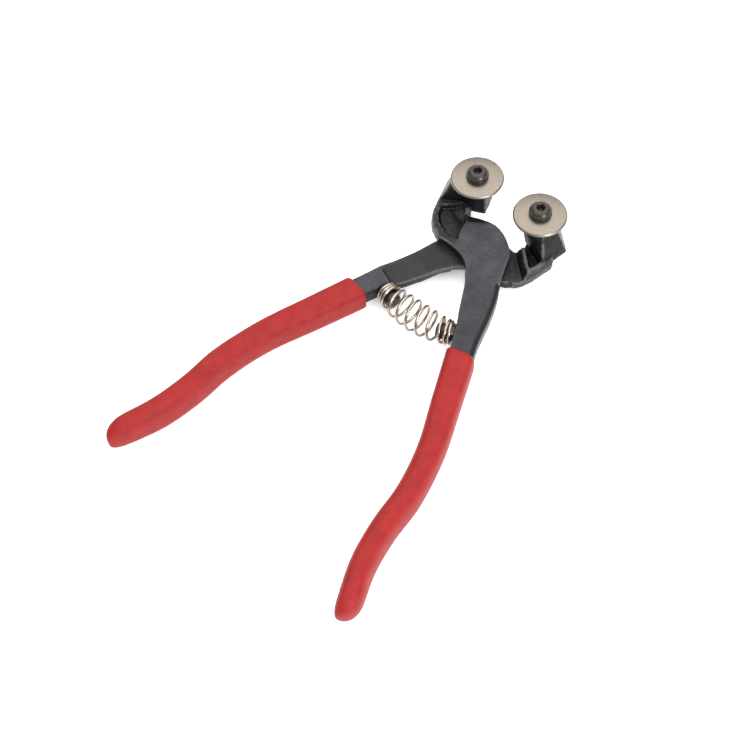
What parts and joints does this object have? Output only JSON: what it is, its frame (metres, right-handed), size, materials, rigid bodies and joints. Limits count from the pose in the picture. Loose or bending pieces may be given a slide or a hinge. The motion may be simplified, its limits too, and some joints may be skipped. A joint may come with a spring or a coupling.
{
  "type": "wheeled nippers",
  "caption": "Hand nippers for glass tile: crossed levers on a rivet carry round cutting wheels that meet when the sprung, dipped handles are squeezed.",
  "frame": {"origin": "on the rivet's axis, at the rear lever's back face", "axes": "+Z along the rivet towards the wheels, +Y towards the jaws, +X towards the jaw of the rear lever"},
  "size_m": [0.119, 0.1816, 0.0276],
  "materials": {
    "forging": "satin black coating over a forged skin",
    "grip": "dipped soft red plastic, satin",
    "wheel": "ground carbide, fine brushed grain",
    "screw": "black oxide",
    "stud": "black oxide",
    "spring_wire": "bright nickel plate"
  },
  "bodies": {
    "rear_half": {"rear_lever": "forging", "pivot_rivet": "forging", "return_spring": "spring_wire", "rear_grip": "grip", "rear_spring_stud": "stud", "rear_wheel_screw": "screw"},
    "front_half": {"front_lever": "forging", "front_grip": "grip", "front_spring_stud": "stud", "front_wheel_screw": "screw"},
    "rear_wheel": {"rear_cutting_wheel": "wheel"},
    "front_wheel": {"front_cutting_wheel": "wheel"}
  },
  "joints": [
    {"name": "handle_pivot", "type": "hinge", "parent": "rear_half", "child": "front_half", "pos_m": [0, 0, 0.0045], "axis": [0, 0, -1], "range_deg": [0, 22], "stiffness_Nm_per_rad": 2.4, "springref_deg": -5.73, "deforming": ["return_spring"]},
    {"name": "rear_wheel_spin", "type": "hinge", "parent": "rear_half", "child": "rear_wheel", "pos_m": [0.0152, 0.019, 0.0185], "axis": [0, 0, 1], "continuous": true},
    {"name": "front_wheel_spin", "type": "hinge", "parent": "front_half", "child": "front_wheel", "pos_m": [-0.0152, 0.019, 0.0185], "axis": [0, 0, 1], "continuous": true}
  ]
}
